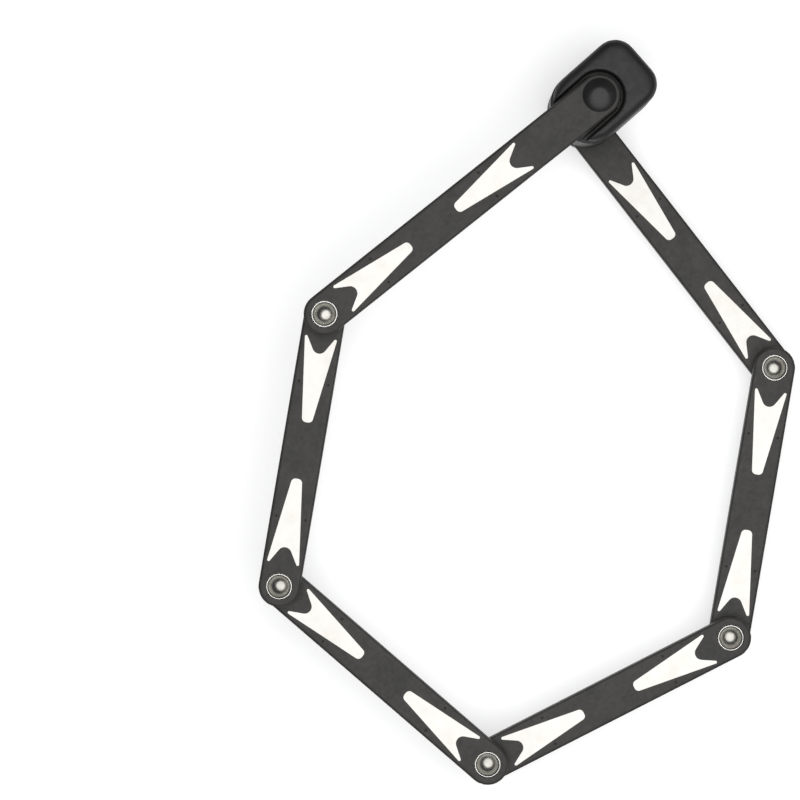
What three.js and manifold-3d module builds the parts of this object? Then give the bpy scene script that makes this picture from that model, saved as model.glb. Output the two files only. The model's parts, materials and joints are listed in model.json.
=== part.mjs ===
// A folding bike lock, opened out into its closed ring and standing on the keyhole end of its body.
// Six covered steel links are riveted in a chain. The first turns on the lock body's pivot, and the
// bare tongue on the end of the last one lies in the body's slot, with the bolt drawn back.
//
// Each body-side dimension is in the lock body's own axes, in millimetres: X runs from the pivot
// towards the slot's mouth, Y from the badge side to the back, Z along every hinge axis from the
// keyhole end to the pivot end. A link's own X runs from its first rivet to its last.

import * as THREE from "three";
import { mergeVertices } from "three/addons/utils/BufferGeometryUtils.js";
import Module from "manifold-3d";

// Lock body
const BODY_CROWN_X = -30.7;
const BODY_MOUTH_X = 25.7;
const PIVOT_CAP_MOUTH_X = 23.5;
const BODY_HALF_DEPTH = 20;
const BODY_HEIGHT = 58.5;
const CROWN_CORNER_R = 12;
const MOUTH_CORNER_R = 16;
const PIVOT_CAP_MOUTH_R = 15;
const END_FILLET = 5;
const SHELL_WALL = 2;
const KEYHOLE_FLOOR = 1.6;
const SHOULDER = { x: 17, thickness: 2 };
const KEYHOLE_CAP_TOP = 15.2;
const PIVOT_CAP_BOTTOM = 51.2;
const SEAM = 0.3;
const GAP = 0.3;
const FIT = 0.15;

// Badge on the front face
const BADGE = { xCentre: -11.6, zLow: 16.8, zHigh: 50.3, radius: 6.1, depth: 0.8 };

// Slot for the tongue
const SLOT = { zLow: 11.7, zHigh: 20.3, ceilingX: 1.3, easedX: -1.5, easeFromY: 8 };

// Link chain
const LINK_R = 11.3;
const LINK_THICKNESS = 7.2;
const LINK_PITCH = 8.22;
const LAST_LINK_Z = 15.85;
const COVER_EDGE = 1.2;
const COVER_SIDE_WALL = 1.05;
const PLATE_THICKNESS = 5;
const FIRST_LINK_LENGTH = 189;
const LINK_LENGTH = 150;
const LAST_LINK_LENGTH = 175.6;
const LINK_NAMES = ["a", "b", "c", "d", "e", "f"];
const RIVET = { headR: 6.6, rimR: 6.05, shankR: 5.65, windowR: 6.95, holeR: 5.8 };
const RIVET_WELL = { radius: 4.5, depth: 1.9, buttonR: 2.4, buttonDepth: 0.87, topDepth: 0.5 };
const SPACER = { innerR: 5.9, outerR: 6.7 };

// Tongue on the last link, and the latch axis where the bolt crosses it
const TONGUE = { eyeR: 8.5, holeR: 4.7, coverSetback: 9, shoulderSetback: 8.2 };
const LATCH_X = 12.5;

// Headings of the first four links in the closed ring, in degrees from the body's X axis
const RING_HEADINGS = [-2.8, 39.1, 97.9, 166];

// White arrows on the covers, measured from a rivet along the link
const ARROW = { tail: 12.9, notch: 21.9, tip: 59.5, halfSpread: 8.55, tipR: 2.6, tailR: 0.6, depth: 0.4 };

// Pivot between the body and the first link
const PIVOT_RECESS = { radius: 13.7, floorZ: 53 };
const PIVOT_POST = {
  headR: 7.4,
  shankR: 6,
  rootR: 4.85,
  bottomZ: 43.3,
  headTopZ: 61.2,
  windowR: 8,
  holeR: 6.3
};
const DOME = { radius: 9.1, rim: 0.35, topZ: 63.85, steps: 6 };

// Key plug, its cam and its pins
const KEY_X = -11;
const PLUG = { radius: 5.5, flangeR: 6.3, faceZ: 3.9, flangeTopZ: 5.1, topZ: 22, tailR: 3, tailTopZ: 26 };
const KEYWAY = { width: 2.2, height: 8, topZ: 20 };
const KEYHOLE_R = 5;
const CAM = { radius: 7, bottomZ: 22.4, topZ: 39.8, grooveR: 2.2, quarterTurn: Math.PI / 2 };
const PIN_STACK = { count: 3, firstZ: 8.5, pitch: 4.5, radius: 1.2, keyTip: 1.9, driverEnd: 8.8 };
const SPRING = { coilR: 0.8, wireR: 0.22, turns: 3, low: 9.1, high: 15 };

// Bolt
const BOLT = { radius: 4, tipZ: 20.8, shoulderZ: 33.9, topZ: 41, spigotR: 2, travel: 12, socketZ: 7.5 };
const BALL = { radius: 1.9, restZ: 37.1 };
const CARRIAGE_HALF_HEIGHT = 3;
const CARRIAGE_HALF_WIDTH = 3;

// Case screws, which hold the pivot cap down under the first link
const CASE_SCREW = {
  x: -4,
  headR: 2.6,
  shankR: 1.4,
  clearance: 0.3,
  bottomZ: 30,
  headZ: 51.95,
  headTopZ: 52.85
};
const CASE_SCREWS = [
  { name: "case_screw_front", y: -8 },
  { name: "case_screw_rear", y: 8 }
];

// The metal block that carries the works, and the strip that closes its pin bores
const BLOCK_BOTTOM = 3.6;
const PIN_COVER = { thickness: 1.6, halfWidth: 2.6, halfLength: 8 };

// Keyway shutter
const SHUTTER = { low: 1.8, high: 3.1, discR: 6.2, pivotX: -7, pivotY: 12, swing: Math.PI / 3 };
const NUB = { x: -3.4, radius: 1.35, reach: 1.7 };
const SHUTTER_PIN_R = 1.2;

// Half size of the boxes that split the body, larger than the body itself
const FAR = 60;

const wasm = await Module();
wasm.setup();

const { PI } = Math;

// --- solids ---------------------------------------------------------------------------------

function toSolid(geometry) {
  const bare = geometry.clone();
  bare.deleteAttribute("normal");
  bare.deleteAttribute("uv");
  const merged = mergeVertices(bare);
  const triVerts = new Uint32Array(merged.index.array);
  return new wasm.Manifold(
    new wasm.Mesh({ numProp: 3, vertProperties: merged.attributes.position.array, triVerts })
  );
}

function toGeometry(solid) {
  const mesh = solid.getMesh();
  const geometry = new THREE.BufferGeometry();
  geometry.setAttribute("position", new THREE.BufferAttribute(mesh.vertProperties, 3));
  geometry.setIndex(new THREE.BufferAttribute(mesh.triVerts, 1));
  geometry.computeVertexNormals();
  return geometry;
}

// An outline in XY, raised from zLow to zHigh, with both rims rounded by bevel
function prism(shape, zLow, zHigh, { arcs = 3, bevel = 0, bevelSteps = 3 } = {}) {
  const geometry = new THREE.ExtrudeGeometry(shape, {
    depth: zHigh - zLow - 2 * bevel,
    curveSegments: arcs,
    bevelEnabled: bevel > 0,
    bevelThickness: bevel,
    bevelSize: bevel,
    bevelOffset: -bevel,
    bevelSegments: bevelSteps
  });
  geometry.translate(0, 0, zLow + bevel);
  return toSolid(geometry);
}

function rod(radius, zLow, zHigh, x = 0, y = 0, sides = 16) {
  const geometry = new THREE.CylinderGeometry(radius, radius, zHigh - zLow, sides);
  geometry.rotateX(PI / 2);
  geometry.translate(x, y, (zLow + zHigh) / 2);
  return toSolid(geometry);
}

// A rod along -X from the key plug's axis, between two distances from that axis
function radialRod(radius, near, far, z, sides = 10) {
  const geometry = new THREE.CylinderGeometry(radius, radius, far - near, sides);
  geometry.rotateZ(PI / 2);
  geometry.translate(KEY_X - (near + far) / 2, 0, z);
  return toSolid(geometry);
}

function box(xLow, xHigh, yLow, yHigh, zLow, zHigh) {
  const geometry = new THREE.BoxGeometry(xHigh - xLow, yHigh - yLow, zHigh - zLow);
  geometry.translate((xLow + xHigh) / 2, (yLow + yHigh) / 2, (zLow + zHigh) / 2);
  return toSolid(geometry);
}

// A turned piece about the Z axis, from its profile as [radius, z] pairs
function turned(profile, sides = 16) {
  const geometry = new THREE.LatheGeometry(profile.map(([r, z]) => new THREE.Vector2(r, z)), sides);
  geometry.rotateX(PI / 2);
  return toSolid(geometry);
}

// A straight bar with round ends, from one XY point to another
function bar(x0, y0, x1, y1, radius, zLow, zHigh, arcs = 3) {
  const length = Math.hypot(x1 - x0, y1 - y0);
  const shape = obround(length, radius);
  const angle = (Math.atan2(y1 - y0, x1 - x0) * 180) / PI;
  return prism(shape, zLow, zHigh, { arcs }).rotate([0, 0, angle]).translate([x0, y0, 0]);
}

// --- outlines -------------------------------------------------------------------------------

function obround(length, radius) {
  const shape = new THREE.Shape();
  shape.moveTo(0, -radius);
  shape.lineTo(length, -radius);
  shape.absarc(length, 0, radius, -PI / 2, PI / 2, false);
  shape.lineTo(0, radius);
  shape.absarc(0, 0, radius, PI / 2, 1.5 * PI, false);
  return shape;
}

function bodyOutline(inset = 0, mouthX = BODY_MOUTH_X, mouthR = MOUTH_CORNER_R) {
  const crown = BODY_CROWN_X + inset;
  const mouth = mouthX - inset;
  const half = BODY_HALF_DEPTH - inset;
  const crownR = CROWN_CORNER_R - inset;
  const r = mouthR - inset;
  const shape = new THREE.Shape();
  shape.moveTo(crown + crownR, -half);
  shape.lineTo(mouth - r, -half);
  shape.absarc(mouth - r, -half + r, r, -PI / 2, 0, false);
  shape.absarc(mouth - r, half - r, r, 0, PI / 2, false);
  shape.absarc(crown + crownR, half - crownR, crownR, PI / 2, PI, false);
  shape.absarc(crown + crownR, -half + crownR, crownR, PI, 1.5 * PI, false);
  return shape;
}

// A swallow-tailed arrow that points along +X, drawn in by clearance all round
function arrowOutline(clearance = 0) {
  const tail = ARROW.tail + clearance;
  const spread = ARROW.halfSpread - clearance;
  const notch = ARROW.notch + clearance;
  const tip = ARROW.tip - clearance;
  const tipR = ARROW.tipR - clearance;
  const shape = new THREE.Shape();
  shape.moveTo(tail, -spread);
  shape.lineTo(tip - tipR, -tipR);
  shape.absarc(tip - tipR, 0, tipR, -PI / 2, PI / 2, false);
  shape.lineTo(tail, spread);
  shape.lineTo(tail + ARROW.tailR, ARROW.halfSpread - 2 * ARROW.tailR + clearance);
  shape.quadraticCurveTo(notch - 1, 4.2 + clearance, notch, 0);
  shape.quadraticCurveTo(
    notch - 1,
    -4.2 - clearance,
    tail + ARROW.tailR,
    -ARROW.halfSpread + 2 * ARROW.tailR - clearance
  );
  return shape;
}

// --- the lock body's shells -----------------------------------------------------------------

// The slot runs right through the body's depth and opens at its mouth. Its ceiling is eased
// towards the back, where the second hinge of the chain swings past.
function slotCut() {
  const { ceilingX, easedX, easeFromY, zLow, zHigh } = SLOT;
  const past = BODY_HALF_DEPTH + 5;
  const shape = new THREE.Shape();
  shape.moveTo(ceilingX, -past);
  shape.lineTo(BODY_MOUTH_X + 5, -past);
  shape.lineTo(BODY_MOUTH_X + 5, past);
  shape.lineTo(easedX, past);
  shape.lineTo(easedX, BODY_HALF_DEPTH);
  shape.lineTo(ceilingX, easeFromY);
  return prism(shape, zLow, zHigh);
}

function roundedBody() {
  return prism(bodyOutline(), 0, BODY_HEIGHT, { bevel: END_FILLET });
}

function badgeOutline(inset) {
  const { zLow, zHigh, radius } = BADGE;
  return obround(zHigh - zLow - 2 * radius, radius - inset);
}

// The badge's outline, stood up on the front face between two depths below it
function badgeSolid(inset, outerY, innerY) {
  return prism(badgeOutline(inset), 0, innerY - outerY)
    .rotate([0, -90, 0])
    .rotate([0, 0, 180])
    .rotate([0, 0, 90])
    .translate([BADGE.xCentre, outerY, BADGE.zLow + BADGE.radius]);
}

function sleeve(slot) {
  const low = KEYHOLE_CAP_TOP + SEAM / 2;
  const high = PIVOT_CAP_BOTTOM - SEAM / 2;
  const shoulder = box(SHOULDER.x, FAR, -FAR, FAR, high - SHOULDER.thickness, FAR);
  const inside = prism(bodyOutline(SHELL_WALL), low - 1, high + 1).subtract(shoulder);
  const shell = prism(bodyOutline(), low, high).subtract(inside);
  const recess = badgeSolid(0, -BODY_HALF_DEPTH - 1, -BODY_HALF_DEPTH + BADGE.depth);
  return shell.subtract(slot).subtract(recess);
}

function badgePlate() {
  return badgeSolid(FIT, -BODY_HALF_DEPTH, -BODY_HALF_DEPTH + BADGE.depth - FIT);
}

function keyholeCap(slot) {
  const cup = roundedBody().intersect(box(-FAR, FAR, -FAR, FAR, -1, KEYHOLE_CAP_TOP - SEAM / 2));
  const cavity = prism(bodyOutline(SHELL_WALL), KEYHOLE_FLOOR, FAR, { bevel: 1.8, bevelSteps: 1 });
  const keyhole = rod(KEYHOLE_R, -1, KEYHOLE_FLOOR + 1, KEY_X, 0, 20);
  return cup.subtract(cavity).subtract(slot).subtract(keyhole).subtract(nubSlot(KEYHOLE_FLOOR + 1));
}

// The curved slot in the keyhole face that the shutter's nub slides along
function nubSlot(top) {
  const { pivotX, pivotY, swing } = SHUTTER;
  const width = NUB.radius + GAP;
  const reach = Math.hypot(NUB.x - pivotX, pivotY);
  const start = Math.atan2(-pivotY, NUB.x - pivotX);
  const end = start + swing;
  const at = (angle) => [pivotX + reach * Math.cos(angle), pivotY + reach * Math.sin(angle)];
  const shape = new THREE.Shape();
  shape.absarc(pivotX, pivotY, reach + width, start, end, false);
  shape.absarc(...at(end), width, end, end + PI, false);
  shape.absarc(pivotX, pivotY, reach - width, end, start, true);
  shape.absarc(...at(start), width, start + PI, start + 2 * PI, false);
  return prism(shape, -1, top);
}

function pivotCap() {
  const low = PIVOT_CAP_BOTTOM + SEAM / 2;
  const outline = bodyOutline(0, PIVOT_CAP_MOUTH_X, PIVOT_CAP_MOUTH_R);
  const rounded = prism(outline, 0, BODY_HEIGHT, { bevel: END_FILLET });
  const { radius, floorZ } = PIVOT_RECESS;
  const recess = prism(obround(50, radius), floorZ, BODY_HEIGHT + 1, { arcs: 6 });
  let cap = rounded.intersect(box(-FAR, FAR, -FAR, FAR, low, FAR)).subtract(recess);
  cap = cap.subtract(rod(PIVOT_POST.rootR + GAP, low - 1, floorZ + 1));
  const { x, headR, shankR, headZ, clearance } = CASE_SCREW;
  for (const { y } of CASE_SCREWS) {
    cap = cap.subtract(rod(shankR + clearance, low - 1, floorZ + 1, x, y, 12));
    cap = cap.subtract(rod(headR + clearance, headZ - FIT, floorZ + 1, x, y, 12));
  }
  return cap;
}

// --- inside the body ------------------------------------------------------------------------

function caseScrew(y) {
  const { x, headR, shankR, bottomZ, headZ, headTopZ } = CASE_SCREW;
  return rod(headR, headZ, headTopZ, x, y, 12).add(rod(shankR, bottomZ, headTopZ - 0.2, x, y, 12));
}

const pinHeights = Array.from({ length: PIN_STACK.count }, (_, i) => PIN_STACK.firstZ + i * PIN_STACK.pitch);

function lockBlock(slot) {
  const low = BLOCK_BOTTOM;
  const high = PIVOT_CAP_BOTTOM - SEAM / 2;
  let block = prism(bodyOutline(SHELL_WALL + GAP), low, high, { arcs: 4 }).subtract(slot);
  block = block.subtract(
    box(SHOULDER.x - GAP, FAR, -FAR, FAR, high - SHOULDER.thickness - GAP, FAR)
  );
  block = block.subtract(rod(PLUG.radius + FIT, low - 1, CAM.bottomZ, KEY_X, 0));
  block = block.subtract(rod(PLUG.flangeR + 0.2, low - 1, PLUG.flangeTopZ + FIT, KEY_X, 0));
  block = block.subtract(rod(CAM.radius + GAP, PLUG.topZ + FIT, CAM.topZ + GAP, KEY_X, 0));
  for (const z of pinHeights) {
    block = block.subtract(radialRod(PIN_STACK.radius + FIT, 2, 30, z));
  }
  block = block.subtract(pinCoverBlank(FIT));
  block = block.subtract(rod(BOLT.radius + 0.2, SLOT.zHigh - 1, 42, LATCH_X, 0));
  block = block.subtract(rod(BOLT.radius + 0.2, BOLT.socketZ, SLOT.zLow + 1, LATCH_X, 0));
  const lift = CARRIAGE_HALF_HEIGHT + GAP;
  const side = CARRIAGE_HALF_WIDTH + GAP;
  block = block.subtract(
    box(KEY_X, LATCH_X, -side, side, BALL.restZ - BOLT.travel - lift, BALL.restZ + lift)
  );
  block = block.subtract(rod(PIVOT_POST.rootR + FIT, PIVOT_POST.bottomZ - FIT, high + 1));
  const { x, shankR, bottomZ } = CASE_SCREW;
  for (const { y } of CASE_SCREWS) {
    block = block.subtract(rod(shankR + FIT, bottomZ - FIT, high + 1, x, y, 12));
  }
  return block.subtract(rod(SHUTTER_PIN_R + FIT, low - 1, 8.2, SHUTTER.pivotX, SHUTTER.pivotY, 12));
}

// The strip that closes the outer ends of the pin bores
function pinCoverBlank(grow) {
  const far = -BODY_CROWN_X - SHELL_WALL - GAP;
  const middle = PIN_STACK.firstZ + ((PIN_STACK.count - 1) * PIN_STACK.pitch) / 2;
  const side = PIN_COVER.halfWidth + grow;
  const end = PIN_COVER.halfLength + grow;
  return box(-far - grow, -far + PIN_COVER.thickness + grow, -side, side, middle - end, middle + end);
}

function keyPlug() {
  let plug = rod(PLUG.radius, PLUG.faceZ, PLUG.topZ, KEY_X, 0);
  plug = plug.add(rod(PLUG.flangeR, PLUG.faceZ, PLUG.flangeTopZ, KEY_X, 0));
  plug = plug.add(rod(PLUG.tailR, PLUG.topZ - 1, PLUG.tailTopZ, KEY_X, 0, 12));
  const half = KEYWAY.height / 2;
  const side = KEYWAY.width / 2;
  plug = plug.subtract(box(KEY_X - half, KEY_X + half, -side, side, PLUG.faceZ - 1, KEYWAY.topZ));
  for (const z of pinHeights) {
    plug = plug.subtract(radialRod(PIN_STACK.radius + FIT, 1, PLUG.radius + 1, z));
  }
  return plug;
}

class Helix extends THREE.Curve {
  constructor(pointAt) {
    super();
    this.pointAt = pointAt;
  }

  getPoint(t, target = new THREE.Vector3()) {
    return target.copy(this.pointAt(t));
  }
}

function sweep(pointAt, radius, sides, steps) {
  const circle = new THREE.Shape().absarc(0, 0, radius, 0, 2 * PI, false);
  return toSolid(
    new THREE.ExtrudeGeometry(circle, {
      steps,
      curveSegments: sides,
      extrudePath: new Helix(pointAt)
    })
  );
}

// The barrel cam: a quarter turn of its helical groove draws the bolt's ball down by its travel
function boltCam() {
  const overrun = 0.12;
  const groove = sweep(
    (t) => {
      const turn = -overrun + t * (1 + 2 * overrun);
      const angle = -turn * CAM.quarterTurn;
      const x = KEY_X + CAM.radius * Math.cos(angle);
      const z = BALL.restZ - turn * BOLT.travel;
      return new THREE.Vector3(x, CAM.radius * Math.sin(angle), z);
    },
    CAM.grooveR + 0.1,
    4,
    12
  );
  return rod(CAM.radius, CAM.bottomZ, CAM.topZ, KEY_X, 0, 20)
    .subtract(rod(PLUG.tailR + FIT, CAM.bottomZ - 1, PLUG.tailTopZ + FIT, KEY_X, 0, 12))
    .subtract(groove);
}

function driverSpring(z) {
  const { coilR, wireR, turns, low, high } = SPRING;
  return sweep(
    (t) => {
      const angle = t * turns * 2 * PI;
      const x = KEY_X - low - wireR - t * (high - low - 2 * wireR);
      return new THREE.Vector3(x, coilR * Math.cos(angle), z + coilR * Math.sin(angle));
    },
    wireR,
    2,
    turns * 6
  );
}

function lockingBolt() {
  return turned(
    [
      [0, BOLT.tipZ],
      [BOLT.radius - 0.8, BOLT.tipZ],
      [BOLT.radius, BOLT.tipZ + 0.8],
      [BOLT.radius, BOLT.shoulderZ],
      [BOLT.spigotR, BOLT.shoulderZ],
      [BOLT.spigotR, BOLT.topZ],
      [0, BOLT.topZ]
    ],
    16
  ).translate([LATCH_X, 0, 0]);
}

// The arm from the bolt to the ball that rides in the cam's groove
function boltCarriage() {
  const low = BALL.restZ - CARRIAGE_HALF_HEIGHT;
  const high = BALL.restZ + CARRIAGE_HALF_HEIGHT;
  const ballX = KEY_X + CAM.radius;
  const armX = ballX + 0.8;
  const ball = new THREE.SphereGeometry(BALL.radius, 10, 8);
  ball.translate(ballX, 0, BALL.restZ);
  const neck = new THREE.CylinderGeometry(1.2, 1.2, 2, 10);
  neck.rotateZ(PI / 2);
  neck.translate(ballX + 1, 0, BALL.restZ);
  return box(armX, LATCH_X, -CARRIAGE_HALF_WIDTH, CARRIAGE_HALF_WIDTH, low, high)
    .add(rod(BOLT.radius, low, high, LATCH_X, 0))
    .subtract(rod(BOLT.spigotR + FIT, low - 1, high + 1, LATCH_X, 0))
    .add(toSolid(ball))
    .add(toSolid(neck));
}

function shutter() {
  const { low, high, discR, pivotX, pivotY } = SHUTTER;
  return rod(discR, low, high, KEY_X, 0)
    .add(bar(pivotX, pivotY, KEY_X, 0, 2.6, low, high))
    .add(bar(KEY_X, 0, NUB.x, 0, 2.2, low, high))
    .add(rod(NUB.radius, -NUB.reach, low + 0.5, NUB.x, 0, 12))
    .subtract(rod(1.4, low - 1, high + 1, pivotX, pivotY, 12));
}

// --- the pivot of the first link ------------------------------------------------------------

function pivotPost() {
  const plateBottom = linkZ(0) - PLATE_THICKNESS / 2;
  const plateTop = linkZ(0) + PLATE_THICKNESS / 2;
  const { headR, shankR, rootR, bottomZ, headTopZ } = PIVOT_POST;
  return turned([
    [0, bottomZ],
    [rootR, bottomZ],
    [rootR, plateBottom + FIT],
    [shankR, plateBottom + FIT],
    [shankR, plateTop + FIT],
    [headR, plateTop + FIT],
    [headR, headTopZ - 0.5],
    [headR - 0.8, headTopZ],
    [0, headTopZ]
  ]);
}

// The cover over the post's head: a low round dome
function pivotDome() {
  const low = linkZ(0) + LINK_THICKNESS / 2 + FIT;
  const cavityTop = PIVOT_POST.headTopZ + FIT;
  const { radius, rim, topZ, steps } = DOME;
  const height = topZ - low - rim;
  const sphereR = (radius ** 2 + height ** 2) / (2 * height);
  const dome = Array.from({ length: steps + 1 }, (_, i) => {
    const angle = Math.asin(radius / sphereR) * (1 - i / steps);
    return [sphereR * Math.sin(angle), topZ - sphereR * (1 - Math.cos(angle))];
  });
  return turned(
    [
      [0, cavityTop],
      [PIVOT_POST.headR + FIT, cavityTop],
      [PIVOT_POST.headR + FIT, low],
      [radius, low],
      ...dome
    ],
    20
  );
}

function pivotWasher() {
  const low = PIVOT_RECESS.floorZ + FIT;
  const high = linkZ(0) - PLATE_THICKNESS / 2 - FIT;
  const { rootR, windowR } = PIVOT_POST;
  return rod(windowR - GAP, low, high).subtract(rod(rootR + GAP, low - 1, high + 1));
}

// --- links ----------------------------------------------------------------------------------

function linkZ(index) {
  return LAST_LINK_Z + (LINK_NAMES.length - 1 - index) * LINK_PITCH;
}

// Where a link's two arrows are measured from: its rivets, except that the arrows on the longer
// first and last links keep the spacing they have on the others.
function arrowOrigins(index) {
  if (index === 0) return [FIRST_LINK_LENGTH - LINK_LENGTH, FIRST_LINK_LENGTH];
  return [0, LINK_LENGTH];
}

function linkCover(index, length) {
  const z = linkZ(index);
  const low = z - LINK_THICKNESS / 2;
  const high = z + LINK_THICKNESS / 2;
  const cavityHalf = PLATE_THICKNESS / 2 + FIT;
  const isLast = index === LINK_NAMES.length - 1;
  let cover = prism(obround(length, LINK_R), low, high, { arcs: 5, bevel: COVER_EDGE, bevelSteps: 1 });
  const cavityOutline = obround(length, LINK_R - COVER_SIDE_WALL + FIT);
  const cavity = prism(cavityOutline, z - cavityHalf, z + cavityHalf, { arcs: 4 });
  cover = cover.subtract(cavity);
  const nearWindow = index === 0 ? PIVOT_POST.windowR : RIVET.windowR;
  cover = cover.subtract(rod(nearWindow, low - 1, high + 1));
  if (isLast) {
    cover = cover.subtract(box(length - TONGUE.coverSetback, length + 20, -20, 20, low - 1, high + 1));
  } else {
    cover = cover.subtract(rod(RIVET.windowR, low - 1, high + 1, length));
  }
  const recess = prism(arrowOutline(), high - ARROW.depth, high + 1, { arcs: 2 });
  const [near, far] = arrowOrigins(index);
  cover = cover.subtract(recess.translate([near, 0, 0]));
  return cover.subtract(recess.rotate([0, 0, 180]).translate([far, 0, 0]));
}

function linkPlate(index, length) {
  const z = linkZ(index);
  const low = z - PLATE_THICKNESS / 2;
  const high = z + PLATE_THICKNESS / 2;
  const half = LINK_R - COVER_SIDE_WALL;
  const isLast = index === LINK_NAMES.length - 1;
  let plate = prism(obround(length, half), low, high, { arcs: 4 });
  if (isLast) {
    plate = plate
      .subtract(box(length - TONGUE.shoulderSetback, length + 20, -20, 20, low - 1, high + 1))
      .add(bar(length - 20, 0, length, 0, TONGUE.eyeR, low, high, 5))
      .subtract(rod(TONGUE.holeR, low - 1, high + 1, length));
  } else {
    plate = plate.subtract(rod(RIVET.holeR, low - 1, high + 1, length, 0, 16));
  }
  const nearHole = index === 0 ? PIVOT_POST.holeR : RIVET.holeR;
  return plate.subtract(rod(nearHole, low - 1, high + 1, 0, 0, 16));
}

function arrowInlay(index) {
  const top = linkZ(index) + LINK_THICKNESS / 2;
  return prism(arrowOutline(FIT), top - ARROW.depth + 0.05, top, { arcs: 2 });
}

// The rivet through a link's far end and the next link's near end. Each head is flush with its
// cover and has a round well in it, with a low button on the well's floor.
function hingeRivet(upperIndex) {
  const top = linkZ(upperIndex) + LINK_THICKNESS / 2;
  const bottom = linkZ(upperIndex + 1) - LINK_THICKNESS / 2;
  const seatTop = linkZ(upperIndex) + PLATE_THICKNESS / 2 + FIT;
  const seatBottom = linkZ(upperIndex + 1) - PLATE_THICKNESS / 2 - FIT;
  const { headR, rimR, shankR } = RIVET;
  const { radius, depth, buttonR, buttonDepth, topDepth } = RIVET_WELL;
  return turned([
    [0, bottom + topDepth],
    [buttonR, bottom + buttonDepth],
    [radius, bottom + depth],
    [rimR, bottom],
    [headR, bottom],
    [headR, seatBottom],
    [shankR, seatBottom],
    [shankR, seatTop],
    [headR, seatTop],
    [headR, top],
    [rimR, top],
    [radius, top - depth],
    [buttonR, top - buttonDepth],
    [0, top - topDepth]
  ]);
}

function spacerWasher(upperIndex) {
  const low = linkZ(upperIndex + 1) + PLATE_THICKNESS / 2 + FIT;
  const high = linkZ(upperIndex) - PLATE_THICKNESS / 2 - FIT;
  return rod(SPACER.outerR, low, high).subtract(rod(SPACER.innerR, low - 1, high + 1));
}

// --- the closed ring ------------------------------------------------------------------------

// The turn at each hinge from one link to the next. The last two close the loop: the fifth link
// ends where a circle about its first rivet meets a circle about the latch axis.
function ringTurns() {
  const headings = RING_HEADINGS.map((degrees) => (degrees * PI) / 180);
  const lengths = [FIRST_LINK_LENGTH, LINK_LENGTH, LINK_LENGTH, LINK_LENGTH];
  let x = 0;
  let y = 0;
  headings.forEach((heading, i) => {
    x += lengths[i] * Math.cos(heading);
    y += lengths[i] * Math.sin(heading);
  });
  const across = Math.hypot(LATCH_X - x, y);
  const bearing = Math.atan2(-y, LATCH_X - x);
  const corner = Math.acos(
    (LINK_LENGTH ** 2 + across ** 2 - LAST_LINK_LENGTH ** 2) / (2 * LINK_LENGTH * across)
  );
  const fifth = bearing - corner;
  const fifthX = x + LINK_LENGTH * Math.cos(fifth);
  const fifthY = y + LINK_LENGTH * Math.sin(fifth);
  headings.push(fifth, Math.atan2(-fifthY, LATCH_X - fifthX));
  return headings.map((heading, i) => (i === 0 ? heading : heading - headings[i - 1]));
}

// --- materials ------------------------------------------------------------------------------

function material(color, roughness, metalness) {
  return new THREE.MeshStandardMaterial({ color, roughness, metalness });
}

const casing = material(0x242424, 0.5, 0);
const badgeFace = material(0x1c1c1c, 0.3, 0);
const vinyl = material(0x3a3936, 0.55, 0);
const arrowWhite = material(0xf1efe9, 0.6, 0);
const nickel = material(0xc9c7c2, 0.25, 1);
const steel = material(0x8f9092, 0.35, 1);
const brass = material(0xb79a56, 0.35, 1);
const zinc = material(0x8a8b8d, 0.5, 1);
const shutterOlive = material(0x928e47, 0.45, 0);

function piece(name, solid, finish) {
  const mesh = new THREE.Mesh(toGeometry(solid), finish);
  mesh.name = name;
  return mesh;
}

// --- assembly -------------------------------------------------------------------------------

function bodyPieces() {
  const slot = slotCut();
  const group = new THREE.Group();
  group.add(
    piece("sleeve", sleeve(slot), casing),
    piece("keyhole_cap", keyholeCap(slot), casing),
    piece("pivot_cap", pivotCap(), casing),
    piece("badge_plate", badgePlate(), badgeFace),
    piece("lock_block", lockBlock(slot), zinc),
    piece("pivot_post", pivotPost(), steel),
    piece("pivot_dome", pivotDome(), casing),
    piece("pivot_washer", pivotWasher(), nickel),
    piece("shutter_pin", rod(SHUTTER_PIN_R, SHUTTER.low, 8, SHUTTER.pivotX, SHUTTER.pivotY, 10), steel),
    piece("pin_cover", pinCoverBlank(0), brass),
    piece("shutter", shutter(), shutterOlive),
    piece("key_plug", keyPlug(), brass),
    piece("bolt_cam", boltCam(), steel),
    piece("locking_bolt", lockingBolt(), steel),
    piece("bolt_carriage", boltCarriage(), zinc)
  );
  for (const { name, y } of CASE_SCREWS) {
    group.add(piece(name, caseScrew(y), steel));
  }
  pinHeights.forEach((z, i) => {
    const { radius, keyTip, driverEnd } = PIN_STACK;
    group.add(
      piece(`key_pin_${i + 1}`, radialRod(radius, keyTip, PLUG.radius - FIT, z), brass),
      piece(`driver_pin_${i + 1}`, radialRod(radius, PLUG.radius + FIT * 2, driverEnd, z), brass),
      piece(`driver_spring_${i + 1}`, driverSpring(z), steel)
    );
  });
  return group;
}

function linkPieces(index, length) {
  const letter = LINK_NAMES[index];
  const group = new THREE.Group();
  const [near, far] = arrowOrigins(index);
  const nearArrow = piece(`arrow_${letter}_near`, arrowInlay(index), arrowWhite);
  nearArrow.position.x = near;
  const farArrow = piece(`arrow_${letter}_far`, arrowInlay(index), arrowWhite);
  farArrow.rotation.z = PI;
  farArrow.position.x = far;
  group.add(
    piece(`link_plate_${letter}`, linkPlate(index, length), nickel),
    piece(`link_cover_${letter}`, linkCover(index, length), vinyl),
    nearArrow,
    farArrow
  );
  if (index < LINK_NAMES.length - 1) {
    const rivet = piece(`rivet_${index + 1}`, hingeRivet(index), nickel);
    const spacer = piece(`spacer_${index + 1}`, spacerWasher(index), nickel);
    rivet.position.x = length;
    spacer.position.x = length;
    group.add(rivet, spacer);
  }
  return group;
}

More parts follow.
